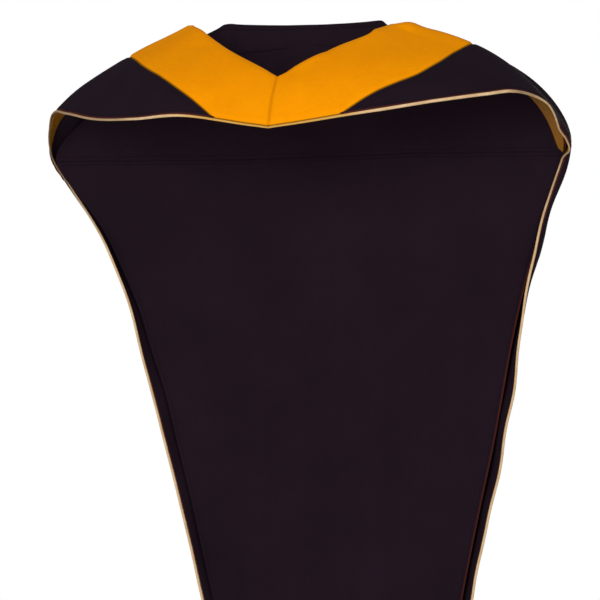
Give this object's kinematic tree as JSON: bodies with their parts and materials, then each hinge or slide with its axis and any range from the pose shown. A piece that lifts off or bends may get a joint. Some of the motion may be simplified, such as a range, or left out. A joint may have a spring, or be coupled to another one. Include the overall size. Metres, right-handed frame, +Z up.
{
  "type": "academic hood",
  "caption": "Worn academic hood: a cape over the shoulders with a V neck edged by a wide velvet band, a piped hem and a long tapering cowl down the back.",
  "frame": {"origin": "the middle of the neck opening, level with the ridge of the shoulders, where the hood sits on its wearer", "axes": "+X towards the wearer's left, +Y towards the wearer's back, +Z up; the point of the V in front faces -Y"},
  "size_m": [0.5498, 0.3125, 0.9099],
  "materials": {
    "gold_velvet": "matte cotton velvet in saffron gold",
    "black_cloth": "matte plain-woven black cloth",
    "gold_satin": "satin lining in gold",
    "cream_cord": "smooth cloth-covered cord in cream"
  },
  "bodies": {
    "root": {"left_band": "gold_velvet", "right_band": "gold_velvet", "left_shell": "black_cloth", "right_shell": "black_cloth", "left_facing": "gold_satin", "right_facing": "gold_satin", "left_piping": "cream_cord", "right_piping": "cream_cord", "yoke": "black_cloth", "back_panel": "black_cloth", "left_arm_facing": "gold_satin", "cowl_lining": "gold_satin"}
  },
  "joints": []
}
